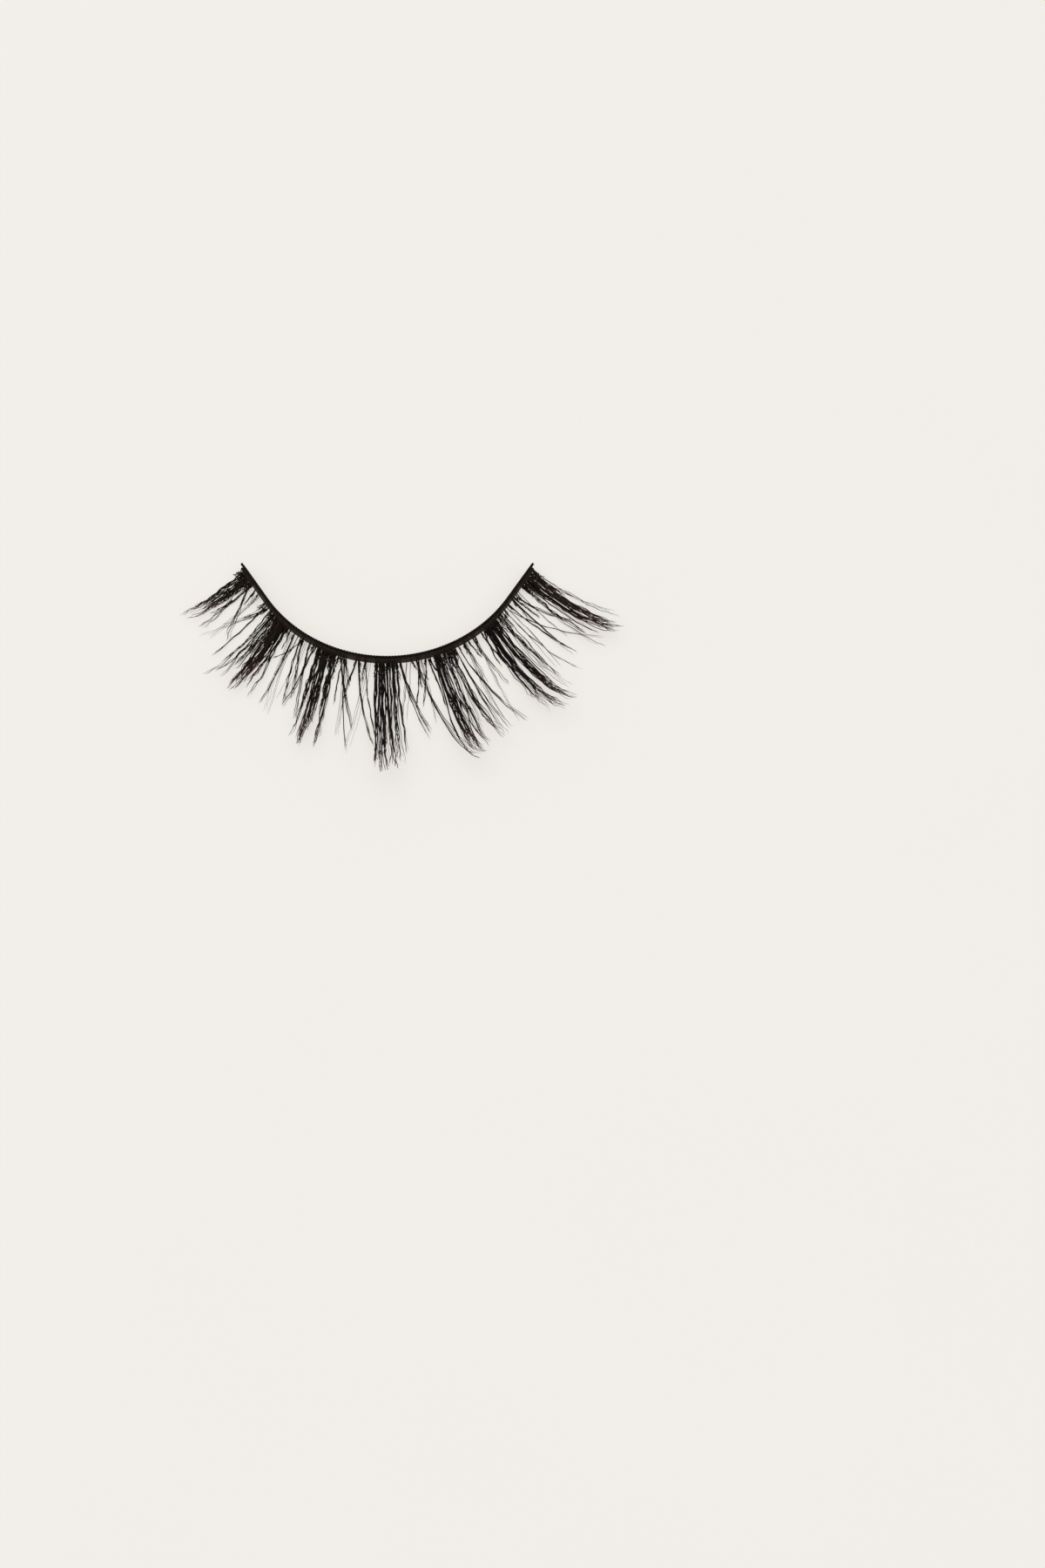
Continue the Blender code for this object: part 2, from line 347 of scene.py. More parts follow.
# The locks from the inner corner to the outer one
LOCKS = (
    Bunch(0.50, (
        Clump(-0.85, -0.85, 0.95, 4),
        Clump(-0.35, -0.60, 0.78, 6),
        Clump(0.00, -0.30, 0.80, 8),
        Clump(0.10, -0.05, 1.00, 11, brown=0.55),
        Clump(0.50, 0.30, 0.78, 4),
        Clump(0.75, 0.60, 0.90, 3),
        Clump(-0.50, -0.50, 1.05, 4, spread=0.30, fine=0.7),
        Clump(0.80, 0.95, 1.15, 3, spread=0.25, fine=0.7),
    )),
    Bunch(0.66, (
        Clump(-0.95, -1.05, 0.92, 5, spread=0.12),
        Clump(-0.45, -0.65, 0.90, 8, brown=0.45),
        Clump(-0.10, -0.25, 0.98, 12, brown=0.40, shortest=0.70),
        Clump(0.25, 0.05, 0.95, 14, brown=0.30),
        Clump(0.55, 0.25, 0.80, 13),
        Clump(0.80, 0.60, 0.82, 7),
        Clump(0.90, 1.20, 0.95, 3, spread=0.15),
        Clump(-0.90, -1.50, 1.05, 3, spread=0.30, fine=0.7),
    )),
    Bunch(0.84, (
        Clump(-0.85, -0.95, 0.60, 7),
        Clump(-0.38, -0.42, 0.98, 16, brown=0.30, shortest=0.75),
        Clump(0.00, -0.15, 0.74, 7),
        Clump(0.30, 0.30, 0.52, 8),
        Clump(0.60, 0.52, 0.96, 7, shortest=0.75),
        Clump(1.00, 0.70, 0.24, 4),
        Clump(-1.00, -1.05, 0.98, 4, spread=0.12),
    )),
    Bunch(1.00, (
        Clump(-0.95, -0.95, 0.96, 8),
        Clump(-0.55, -0.68, 1.16, 14, shortest=0.65),
        Clump(-0.20, -0.18, 0.72, 9),
        Clump(0.15, 0.16, 1.06, 6),
        Clump(0.50, 0.50, 0.90, 5),
        Clump(0.85, 1.10, 0.74, 4),
        Clump(0.60, 1.00, 0.97, 3, spread=0.15),
    )),
    Bunch(0.98, (
        Clump(-1.00, -0.75, 0.94, 12),
        Clump(-0.55, -0.30, 0.99, 13),
        Clump(-0.05, 0.35, 0.94, 6),
        Clump(0.45, 1.05, 1.02, 5),
        Clump(0.80, 1.15, 0.85, 4),
        Clump(0.00, 0.00, 0.17, 10, wide=5.0, fan=1.0),
        Clump(-1.00, -1.10, 1.06, 3, shortest=0.85, spread=0.04),
    )),
    Bunch(0.97, (
        Clump(-1.10, -1.40, 0.88, 7, bend=9.0),
        Clump(-0.75, -0.80, 1.02, 14, bend=3.0, shortest=0.70),
        Clump(-0.30, 0.18, 1.02, 13),
        Clump(0.15, 0.35, 0.97, 7),
        Clump(0.60, 0.80, 0.55, 3),
        Clump(-1.10, -1.00, 0.60, 4, bend=10.0),
        Clump(0.90, 1.00, 0.80, 2),
    )),
    Bunch(0.88, (
        Clump(0.45, 1.25, 0.86, 12, wide=1.4, spread=0.14, brown=0.55),
        Clump(0.20, 0.90, 0.94, 12, wide=1.4, spread=0.14, brown=0.50),
        Clump(-0.45, 0.35, 0.88, 8, spread=0.12, brown=0.45),
        Clump(-0.95, -0.60, 0.66, 4),
        Clump(-0.20, 0.80, 1.20, 4, bend=10.0, spread=0.12),
        Clump(0.90, 1.15, 0.32, 4, brown=0.60),
        Clump(0.90, 2.20, 0.80, 5, spread=0.45, fine=0.5, brown=0.60),
    )),
)

# Short hairs that make each lock's root dense, and thin loose ones along it
LOCK_FILL = (
    Clump(0.00, 0.00, 0.13, 18, wide=5.9, fan=1.0, shortest=0.40),
    Clump(0.00, 0.00, 0.95, 8, wide=5.5, fan=0.8, spread=0.35, shortest=0.40, fine=0.55, brown=0.40),
)

# The tufts from the inner corner to the outer one
TUFTS = (
    Bunch(0.60, (
        Clump(-1.30, 0.30, 0.74, 6, shortest=0.80),
        Clump(-0.80, -0.65, 0.25, 3),
        Clump(-0.50, -0.35, 0.20, 2),
        Clump(0.62, -0.05, 0.36, 7, shortest=0.80),
        Clump(0.62, -0.95, 1.00, 2, fine=0.60, brown=0.50),
        Clump(0.45, 0.40, 1.02, 4),
        Clump(0.20, 0.10, 0.12, 5, wide=4.0),
        Clump(0.85, 0.85, 0.50, 3),
        Clump(0.95, 0.98, 1.00, 3),
    )),
    Bunch(0.74, (
        Clump(0.00, -1.05, 0.50, 3),
        Clump(-0.30, -0.50, 0.52, 2),
        Clump(0.02, 0.75, 0.76, 5),
        Clump(0.50, 0.62, 0.30, 3),
        Clump(0.95, 0.60, 0.22, 3),
        Clump(0.80, 0.35, 0.88, 4),
        Clump(-0.60, -0.62, 0.95, 4, spread=0.12),
        Clump(-0.10, 0.10, 0.90, 4, spread=0.20),
        Clump(0.50, 0.50, 1.00, 3, spread=0.20),
        Clump(-0.90, -0.80, 0.30, 3),
    )),
    Bunch(0.88, (
        Clump(-0.95, -0.05, 0.80, 4),
        Clump(-0.62, -0.40, 0.30, 3),
        Clump(0.00, -0.35, 0.46, 4),
        Clump(0.10, 0.95, 0.98, 5),
        Clump(0.50, 0.90, 0.95, 4),
        Clump(0.12, 0.25, 0.22, 4),
        Clump(0.50, 0.25, 0.20, 3),
        Clump(-0.85, -0.85, 0.56, 3),
        Clump(-0.70, -0.35, 1.18, 3, spread=0.15),
    )),
    Bunch(0.97, (
        Clump(-0.92, 0.00, 0.80, 6),
        Clump(-0.95, -0.25, 0.98, 4),
        Clump(-0.30, 0.42, 0.24, 3),
        Clump(0.55, -0.10, 0.45, 4),
        Clump(0.15, 0.05, 0.30, 4),
        Clump(0.10, -0.25, 0.50, 4),
        Clump(0.00, 1.25, 1.34, 7, shortest=0.75),
        Clump(0.65, 0.90, 0.60, 4),
        Clump(0.80, 0.95, 0.28, 4),
    )),
    Bunch(1.00, (
        Clump(-0.90, 0.15, 1.02, 4, bend=8.0),
        Clump(-1.10, -0.45, 0.90, 3),
        Clump(-1.10, -0.70, 1.08, 3),
        Clump(-0.45, -0.30, 0.46, 3),
        Clump(-0.50, -0.50, 0.10, 3),
        Clump(-0.20, 0.05, 0.20, 4),
        Clump(0.25, 0.10, 0.20, 3),
        Clump(0.10, 0.50, 0.50, 3, spread=0.20),
        Clump(0.70, 0.95, 0.64, 5, bend=8.0),
        Clump(0.90, 0.80, 0.40, 4),
    )),
    Bunch(0.96, (
        Clump(-0.35, -0.30, 0.78, 5, bend=10.0),
        Clump(-0.60, 0.95, 0.95, 2, bend=15.0),
        Clump(0.00, -0.10, 0.22, 2),
        Clump(0.40, 1.05, 0.54, 5, bend=10.0),
        Clump(0.20, 0.35, 0.32, 4),
        Clump(0.50, 0.50, 0.15, 3),
        Clump(-0.95, -1.00, 0.84, 3, spread=0.12, fine=0.8),
        Clump(-0.75, -0.55, 0.98, 3, spread=0.12, fine=0.8),
        Clump(0.10, -0.15, 0.80, 3, spread=0.20),
    )),
)

# Thin loose hairs all over each tuft
TUFT_FILL = (
    Clump(0.00, 0.00, 1.00, 8, wide=18.0, fan=0.9, spread=0.30, shortest=0.35, fine=0.50, brown=0.45),
)


@dataclass(frozen=True)
class Fan:
    """Where the locks and tufts stand along the band, their feet, and the way the hair points there."""

    line: BandLine
    tuft_to_lock: float = 1.55
    foot_spacing: float = 0.00012
    foot_thickness: float = 0.00032
    foot_lift: float = 0.00018
    foot_below_top: float = 0.00010
    foot_reach: float = 1.05  # the place where the outermost hairs are tied

    def lock_place(self) -> float:
        """Width of a lock's place on the band."""
        return self.line.length / (len(LOCKS) + len(TUFTS) * self.tuft_to_lock)

    def lock_centre(self, number: float) -> float:
        """Length along the band to the middle of a lock, or of a tuft.

        Args:
            number: the lock, counted from 0 at the inner corner; a tuft is at a half between two locks.

        Returns:
            The length from the band's middle.
        """
        first = (self.line.length - self.lock_place()) / 2
        return number * self.lock_place() * (1 + self.tuft_to_lock) - first

    def root_height(self) -> float:
        """Height at which the middle of a lock leaves its foot."""
        return (self.foot_lift + self.line.height - self.foot_below_top) / 2

    def heading(self, along: Array) -> Array:
        """The way the hair points at its root: the band's normal and the lean, blended from lock to lock.

        Args:
            along: lengths along the band.

        Returns:
            Angles from -Y towards +X.
        """
        place = (along - self.lock_centre(0)) / (self.lock_centre(1) - self.lock_centre(0))
        k = np.clip(np.floor(place).astype(int), 0, len(LOCKS) - 2)
        leans = np.array(LOCK_LEANS)
        lean = leans[k] * (1 - (place - k)) + leans[k + 1] * (place - k)
        return self.line.normal_angle(along) + np.radians(lean)


@dataclass(frozen=True)
class Curl:
    """How a hair sinks to its belly on the floor and then curls up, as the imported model's locks do."""

    lock_length: float = 0.0152
    belly_distance: float = 0.0030
    least_sink: float = 0.0020
    tip_curl: float = math.radians(60)
    power: float = 1.25
    side_bend: float = math.radians(5)
    steps: int = 48

    def side_view(self, length: Array, start: Array, belly: Array, rise: Array) -> tuple[Array, Array]:
        """Reach and height along each hair.

        Args:
            length: the hairs' lengths.
            start: their heights at the root.
            belly: their heights at the belly.
            rise: how far each tip lifts over the common curl, as a share of the hair's length.

        Returns:
            Two arrays with a row for each hair and steps + 1 columns.
        """
        sink = np.clip(length / 2, self.least_sink, self.belly_distance)[:, None]
        step = length[:, None] / self.steps
        middle = (np.arange(self.steps)[None, :] + 0.5) * step
        down = -np.arctan(2 * (start - belly)[:, None] / sink) * (1 - middle / sink)
        curled = np.maximum(middle - sink, 0) / (self.lock_length - self.belly_distance)
        up = self.tip_curl * np.minimum(curled, 1) ** self.power
        lift = 2 * rise[:, None] * (np.arange(self.steps)[None, :] + 0.5) / self.steps
        pitch = np.where(middle < sink, down, up) + lift
        zero = np.zeros((len(length), 1))
        reach = np.concatenate([zero, np.cumsum(step * np.cos(pitch), axis=1)], axis=1)
        height = np.concatenate([zero, np.cumsum(step * np.sin(pitch), axis=1)], axis=1) + start[:, None]
        return reach, height


@dataclass(frozen=True)
class HairShape:
    """One hair's section, its crimp, and the places along it that have a ring of points."""

    radius: float = 0.000042
    radius_vary: float = 0.15
    bead: float = 0.32  # how much the radius varies along a hair
    corners: int = 4
    tip_share: float = 0.45
    taper_power: float = 2.5
    bundle: float = 3.0  # hairs that cling together in a stroke
    crimp: float = 0.00006  # sideways kinks that a bundle shares
    own_crimp: float = 0.000035
    straight_share: float = 0.25  # of the hair, over which its kinks grow from none
    upward_crimp: float = 0.5  # kinks up and down, as a share of those sideways
    tie_length: float = 0.00075
    tie_width: float = 0.00016
    ties: int = 4
    tuck: float = 0.00004  # that some hairs are pressed further out than others where they are tied
    tied_share: float = 0.15  # of the hair's map that is tied to the band
    tied_offsets: tuple[float, ...] = (0.00029, 0.00041, 0.00044)
    tied_heights: tuple[float, ...] = (0.00103, 0.00093, 0.00074)
    tied_swell: tuple[float, ...] = (0.75, 0.90, 1.10)
    free: tuple[float, ...] = (0.02, 0.08, 0.16, 0.24, 0.33, 0.42, 0.51, 0.60, 0.69, 0.78, 0.87, 0.94, 1.00)


LOCK_HAIR = HairShape()
WISP_HAIR = HairShape(radius=0.000034, crimp=0.00003, own_crimp=0.000015)


@dataclass(frozen=True)
class Scatter:
    """How much the hairs of a clump differ.

    A pair is what the hairs of a bundle share and then what is each hair's own, as standard deviations.
    Sideways measures are in places, as in a clump's row.
    """

    slot: float = 0.3  # of a bundle's place at the roots, as a share of its room
    aside: float = 0.10  # of a hair's place in its bundle
    own_tip: float = 0.03
    belly: tuple[float, float] = (0.05, 0.02)
    rise: tuple[float, float] = (0.015, 0.01)  # of the tip over the common curl
    mean_rise: float = 0.01
    bend: tuple[float, float] = (2.0, 1.0)  # degrees
    shade: tuple[float, float] = (0.08, 0.06)
    length_power: float = 0.7  # under 1, more of the hairs are long than short
    own_length: float = 0.90  # the shortest hair of a bundle as a share of its longest
    radius_limit: float = 0.4
    in_foot: tuple[float, float] = (0.12, 0.88)  # where hairs leave the foot, as shares of its thickness


@dataclass(frozen=True)
class Bundles:
    """The bundles that a clump's hairs cling together in."""

    number: int
    of: Array  # each hair's bundle
    rng: np.random.Generator

    def vary(self, shared: float, own: float) -> Array:
        """Normal draws of which one part is common to a bundle and one is each hair's own."""
        return self.rng.normal(0, shared, self.number)[self.of] + self.rng.normal(0, own, len(self.of))


@dataclass(frozen=True)
class Courses:
    """What chance gives each hair of a clump: its ends, its way and its thickness."""

    root: Array  # the place where it is tied
    tip: Array
    belly: Array  # how far it bulges aside halfway
    length: Array
    start: Array  # height at the foot
    low: Array  # height at the belly
    rise: Array
    bend: Array  # radians in all
    radius: Array


@dataclass(frozen=True)
class Hairs:
    """Hairs ready to be skinned: their centrelines, the directions across them, their radii and shades."""

    points: Array
    sides: Array
    radii: Array
    shade: Array


@dataclass
class HairPiece:
    """A lock or a tuft: all of its hairs in one joined mesh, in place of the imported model's solid."""

    name: str
    centre: float
    place: float
    length: float
    depth: float
    gather: float
    crowd: float  # hairs, as a multiple of the clumps' own
    clumps: tuple[Clump, ...]
    seed: int
    fan: Fan
    curl: Curl
    hair: HairShape
    scatter: Scatter = Scatter()

    def along(self, places: Array) -> Array:
        """Lengths along the band of places in shares of half the piece's foot."""
        return self.centre + places * (self.place - self.fan.foot_spacing) / 2

    def clump_hairs(self, clump: Clump, rng: np.random.Generator) -> Hairs:
        """The hairs of one clump.

        Args:
            clump: the clump's row.
            rng: the piece's random draws.

        Returns:
            The clump's hairs.
        """
        hair, scatter = self.hair, self.scatter
        count = round(clump.hairs * self.crowd)
        number = max(1, round(count / hair.bundle))
        bundles = Bundles(number, rng.permutation(np.arange(count) % number), rng)
        courses = self.draw_courses(clump, bundles)
        free, free_side = self.free_run(courses, bundles)
        tied, tied_side = self.tied_run(courses.root, rng)
        taper = 1 - (1 - hair.tip_share) * np.array(hair.free)[None, :] ** hair.taper_power
        beaded = taper * rng.uniform(1 - hair.bead, 1 + hair.bead, free.shape[:2])
        swell = np.repeat(np.array(hair.tied_swell)[None, :], count, axis=0)
        return Hairs(
            points=np.concatenate([tied, free], axis=1),
            sides=np.concatenate([tied_side, free_side], axis=1),
            radii=courses.radius[:, None] * np.concatenate([swell, beaded], axis=1),
            shade=np.clip(clump.brown + bundles.vary(*scatter.shade), 0, 1),
        )

    def draw_courses(self, clump: Clump, bundles: Bundles) -> Courses:
        """Draw where each hair of a clump starts and ends, and how it bends.

        Args:
            clump: the clump's row.
            bundles: the bundles of its hairs.

        Returns:
            The hairs' courses.
        """
        hair, scatter, rng = self.hair, self.scatter, bundles.rng
        number, count = bundles.number, len(bundles.of)
        slot = (2 * np.arange(number) + 1) / number - 1 + rng.normal(0, scatter.slot, number) / number
        aside = self.gather * clump.wide * (slot[bundles.of] + rng.normal(0, scatter.aside, count))
        root = np.clip(clump.root + aside, *self.root_range(clump))
        tip = clump.tip + aside * clump.fan + bundles.vary(clump.spread, scatter.own_tip)
        belly = bundles.vary(*scatter.belly)
        shortening = rng.uniform(clump.shortest, 1.0, number)[bundles.of] ** scatter.length_power
        shortening *= rng.uniform(scatter.own_length, 1.0, count)
        length = self.length * clump.length * shortening
        start = self.fan.root_height() + rng.uniform(-0.5, 0.5, count) * self.depth
        low = rng.uniform(hair.radius, max(self.depth, 3 * hair.radius), count)
        rise = scatter.mean_rise + bundles.vary(*scatter.rise)
        bend = self.curl.side_bend * length / self.curl.lock_length
        bend += np.radians(clump.bend + bundles.vary(*scatter.bend))
        thicker = rng.normal(0, hair.radius_vary, count).clip(-scatter.radius_limit, scatter.radius_limit)
        radius = hair.radius * clump.fine * (1 + thicker)
        return Courses(root, tip, belly, length, start, low, rise, bend, radius)

    def free_run(self, courses: Courses, bundles: Bundles) -> tuple[Array, Array]:
        """The hairs' free lengths, from the foot to the tip.

        Args:
            courses: the hairs' courses.
            bundles: the bundles that they cling together in.

        Returns:
            The points there and the directions across them.
        """
        hair, line = self.hair, self.fan.line
        reach, height = self.curl.side_view(courses.length, courses.start, courses.low, courses.rise)
        picked = np.round(np.array(hair.free) * self.curl.steps).astype(int)
        at = np.array(hair.free)[None, :]
        reach, height = reach[:, picked], height[:, picked]
        root, belly = courses.root[:, None], courses.belly[:, None]
        across = root + (courses.tip - courses.root)[:, None] * at + belly * np.sin(math.pi * at)
        along = self.along(across)
        heading = self.fan.heading(along)
        turn = courses.bend[:, None] / courses.length[:, None]
        turn = np.where(np.abs(turn) < LEAST_TURN, LEAST_TURN, turn)
        end = heading + turn * reach
        in_foot = self.fan.foot_thickness * bundles.rng.uniform(*self.scatter.in_foot, len(bundles.of))
        offset = line.thickness + line.seat_gap + in_foot
        x, y = line.plan(along, offset[:, None])
        sideways = self.crimp(at, bundles)
        upward = self.crimp(at, bundles) * hair.upward_crimp
        x = x + (np.cos(heading) - np.cos(end)) / turn + sideways * np.cos(end)
        y = y + (np.sin(heading) - np.sin(end)) / turn + sideways * np.sin(end)
        floor = courses.radius[:, None] * (1 + hair.bead)
        points = np.stack([x, y, np.maximum(height + upward, floor)], axis=2)
        return points, np.stack([np.cos(end), np.sin(end), np.zeros_like(end)], axis=2)

    def root_range(self, clump: Clump) -> tuple[float, float]:
        """Lowest and highest place where the hairs of a clump may be tied."""
        return min(-self.fan.foot_reach, clump.root), max(self.fan.foot_reach, clump.root)

    def crimp(self, at: Array, bundles: Bundles) -> Array:
        """The small kinks of crimped hair, which make the hairs cross.

        Args:
            at: the points' shares along the hair.
            bundles: the bundles that the hairs cling together in.

        Returns:
            A shift for each point.
        """
        stations = at.shape[1]
        shared = bundles.rng.normal(0, self.hair.crimp, (bundles.number, stations))[bundles.of]
        own = bundles.rng.normal(0, self.hair.own_crimp, (len(bundles.of), stations))
        return (shared + own) * np.minimum(1, at / self.hair.straight_share)

    def tie(self, clump: Clump) -> Clump:
        """The short hairs that close up to a pointed foot where a clump is tied.

        Args:
            clump: the clump that they belong to.

        Returns:
            A clump of its own.
        """
        half_foot = (self.place - self.fan.foot_spacing) / 2
        length = self.hair.tie_length / self.length
        point = clump.root + (clump.tip - clump.root) * length / clump.length
        wide = self.hair.tie_width / half_foot / self.gather
        return Clump(
            clump.root, point, length, self.hair.ties, wide=wide, spread=0.01, fan=0.0, shortest=0.7)

    def tied_run(self, root: Array, rng: np.random.Generator) -> tuple[Array, Array]:
        """The hairs' ends, which lie over the band's outer edge and down its face.

        Args:
            root: each hair's place at its root.
            rng: the piece's random draws.

        Returns:
            The points there and the directions across them.
        """
        hair, line = self.hair, self.fan.line
        along = np.repeat(self.along(root)[:, None], len(hair.tied_offsets), axis=1)
        tuck = rng.uniform(0, hair.tuck, len(root))[:, None]
        x, y = line.plan(along, np.array(hair.tied_offsets)[None, :] + tuck)
        z = np.repeat(np.array(hair.tied_heights)[None, :], len(root), axis=0)
        angle = line.normal_angle(along)
        across = np.stack([np.cos(angle), np.sin(angle), np.zeros_like(angle)], axis=2)
        return np.stack([x, y, z], axis=2), across

    def build(self, fibre: bpy.types.Material) -> bpy.types.Object:
        """Make the joined mesh.

        Args:
            fibre: the hairs' material.

        Returns:
            The finished piece.
        """
        rng = np.random.default_rng(self.seed)
        ties = [self.tie(clump) for clump in self.clumps if clump.hairs > 2 and clump.fan < 0.5]
        parts = [self.clump_hairs(clump, rng) for clump in (*self.clumps, *ties)]
        hairs = Hairs(*(np.concatenate([getattr(part, field) for part in parts])
                        for field in ("points", "sides", "radii", "shade")))
        piece = joined_hairs(self.name, hairs, self.hair)
        piece.data.materials.append(fibre)
        return piece


def joined_hairs(name: str, hairs: Hairs, shape: HairShape) -> bpy.types.Object:
    """Tapered tubes in one mesh, each closed at its root and pointed at its tip.

    Args:
        name: the piece's name.
        hairs: the hairs.
        shape: their section.

    Returns:
        The object, with each hair's shade and the share along it in its UV map.
    """
    points, corners = hairs.points, shape.corners
    count, stations, _ = points.shape
    tangent = np.gradient(points, axis=1)
    tangent /= np.linalg.norm(tangent, axis=2, keepdims=True)
    over = np.cross(hairs.sides, tangent)
    over /= np.linalg.norm(over, axis=2, keepdims=True)
    side = np.cross(tangent, over)
    turns = 2 * math.pi * np.arange(corners) / corners
    ring = np.cos(turns)[:, None] * side[:, :-1, None, :] + np.sin(turns)[:, None] * over[:, :-1, None, :]
    rings = points[:, :-1, None, :] + hairs.radii[:, :-1, None, None] * ring
    vertices = np.concatenate([rings.reshape(count, -1, 3), points[:, -1:, :]], axis=1)
    each = vertices.shape[1]

    ring_start = np.arange(stations - 2)[:, None] * corners
    corner, after = np.arange(corners), (np.arange(corners) + 1) % corners
    quads = np.stack([ring_start + corner, ring_start + after, ring_start + corners + after,
                      ring_start + corners + corner], axis=2).reshape(-1, 4)
    last = (stations - 2) * corners
    point = np.stack([last + corner, last + after, np.full(corners, each - 1)], axis=1)
    closed = [tuple(reversed(range(corners)))]
    faces = [tuple(face) for face in quads.tolist() + point.tolist()] + closed
    every = [tuple(v + k * each for v in face) for k in range(count) for face in faces]

    mesh = bpy.data.meshes.new(name)
    mesh.from_pydata(vertices.reshape(-1, 3).tolist(), [], every)
    along = np.concatenate([np.zeros(len(shape.tied_offsets)),
                            shape.tied_share + (1 - shape.tied_share) * np.array(shape.free)])
    share = np.tile(np.append(np.repeat(along[:-1], corners), 1.0), count)
    own = np.repeat(hairs.shade, each)
    loops = np.empty(len(mesh.loops), np.int32)
    mesh.loops.foreach_get("vertex_index", loops)
    hair_map = mesh.uv_layers.new(name=HAIR_MAP)
    hair_map.data.foreach_set("uv", np.stack([own[loops], share[loops]], axis=1).astype(np.float32).ravel())
    mesh.shade_smooth()
    mesh.update()
    piece = bpy.data.objects.new(name, mesh)
    bpy.context.scene.collection.objects.link(piece)
    return piece


def start_piece() -> None:
    """Leave nothing selected, so that the next operator acts on the new primitive alone."""
    if bpy.context.object is not None and bpy.context.object.mode != "OBJECT":
        bpy.ops.object.mode_set(mode="OBJECT")
    bpy.ops.object.select_all(action="DESELECT")


def select_edges(piece: bpy.types.Object, wanted: Callable[[Vector, Vector], bool]) -> None:
    """Select the edges that a test picks, in edit mode.

    Args:
        piece: the mesh in edit mode.
        wanted: a test of an edge's two ends.
    """
    bpy.ops.mesh.select_mode(type="EDGE")
    bpy.ops.mesh.select_all(action="DESELECT")
    mesh = bmesh.from_edit_mesh(piece.data)
    for edge in mesh.edges:
        edge.select_set(wanted(edge.verts[0].co, edge.verts[1].co))
    bmesh.update_edit_mesh(piece.data)


def bend_along(piece: bpy.types.Object, line: BandLine, overhang: float) -> None:
    """Bend a straight piece along the band's inner face with a Curve modifier, which is applied.

    Args:
        piece: a mesh whose x runs from the start of the guide, and whose -y is outwards.
        line: the band's bend.
        overhang: how far the guide runs past both ends of the band.
    """
    places = np.linspace(-line.length / 2 - overhang, line.length / 2 + overhang, 401)
    x, y = line.plan(places, np.zeros_like(places))
    guide_data = bpy.data.curves.new("guide", "CURVE")
    guide_data.dimensions = "2D"
    spline = guide_data.splines.new("POLY")
    spline.points.add(len(places) - 1)
    for point, px, py in zip(spline.points, x, y):
        point.co = (px, py, 0.0, 1.0)
    guide = bpy.data.objects.new("guide", guide_data)
    bpy.context.scene.collection.objects.link(guide)
    bend = piece.modifiers.new("bend", "CURVE")
    bend.object = guide
    bend.deform_axis = "POS_X"
    bpy.context.view_layer.objects.active = piece
    bpy.ops.object.modifier_apply(modifier=bend.name)
    bpy.data.objects.remove(guide)
    bpy.data.curves.remove(guide_data)


@dataclass
class Band:
    """The cotton tape, ribbed across by the hair roots under its latex film."""

    line: BandLine
    column: float = 0.00006
    rows: int = 7
    edge_round: float = 0.00005
    rib: float = 0.000016
    rib_fade: float = 0.5  # power of the fall of the ribs towards both edges
    scallop: float = 0.00004
    scallop_columns: int = 9
    seed: int = 11

    def build(self, cotton: bpy.types.Material) -> bpy.types.Object:
        """Cut the tape straight, round its edges, rib it and bend it.

        Args:
            cotton: the tape's material.

        Returns:
            The finished piece.
        """
        line = self.line
        start_piece()
        middle = (line.length / 2, -line.thickness / 2, line.height / 2)
        bpy.ops.mesh.primitive_cube_add(size=1, location=middle)
        piece = bpy.context.object
        piece.name = "cotton_band"
        piece.scale = (line.length, line.thickness, line.height)
        bpy.ops.object.transform_apply(location=True, rotation=True, scale=True)
        bpy.ops.object.mode_set(mode="EDIT")
        select_edges(piece, lambda a, b: abs(a.x - b.x) > line.length / 2)
        bpy.ops.mesh.bevel(offset=self.edge_round, segments=2)
        select_edges(piece, lambda a, b: abs(a.z - b.z) > line.height / 2)
        bpy.ops.mesh.subdivide(number_cuts=self.rows - 1)
        select_edges(piece, lambda a, b: abs(a.x - b.x) > line.length / 2)
        bpy.ops.mesh.subdivide(number_cuts=round(line.length / self.column) - 1)
        bpy.ops.object.mode_set(mode="OBJECT")
        self.rib_face(piece)
        bend_along(piece, line, 0.0)
        bpy.ops.object.shade_smooth_by_angle(angle=math.radians(50))
        piece.data.materials.append(cotton)
        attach(piece, BODY)
        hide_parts("band")
        return piece

    def rib_face(self, piece: bpy.types.Object) -> None:
        """Raise the roots' ribs on the outer face and fray the lower edge a little.

        Args:
            piece: the straight tape.
        """
        rng = np.random.default_rng(self.seed)
        line = self.line
        columns = round(line.length / self.column) + 1
        height = rng.uniform(0, 1, columns)
        over = self.scallop_columns
        fray = np.convolve(rng.uniform(0, 1, columns + over - 1), np.ones(over) / over, mode="valid")
        points = np.empty(len(piece.data.vertices) * 3, np.float32)
        piece.data.vertices.foreach_get("co", points)
        points = points.reshape(-1, 3)
        column = np.clip(np.round(points[:, 0] / self.column).astype(int), 0, columns - 1)
        outer = points[:, 1] < -line.thickness * 0.9
        inside = np.sin(math.pi * np.clip(points[:, 2] / line.height, 0, 1)) ** self.rib_fade
        points[:, 1] -= np.where(outer, self.rib * height[column] * inside, 0)
        low = points[:, 2] < self.edge_round * 1.5
        points[:, 2] += np.where(low, self.scallop * fray[column], 0)
        piece.data.vertices.foreach_set("co", points.ravel())
        piece.data.update()


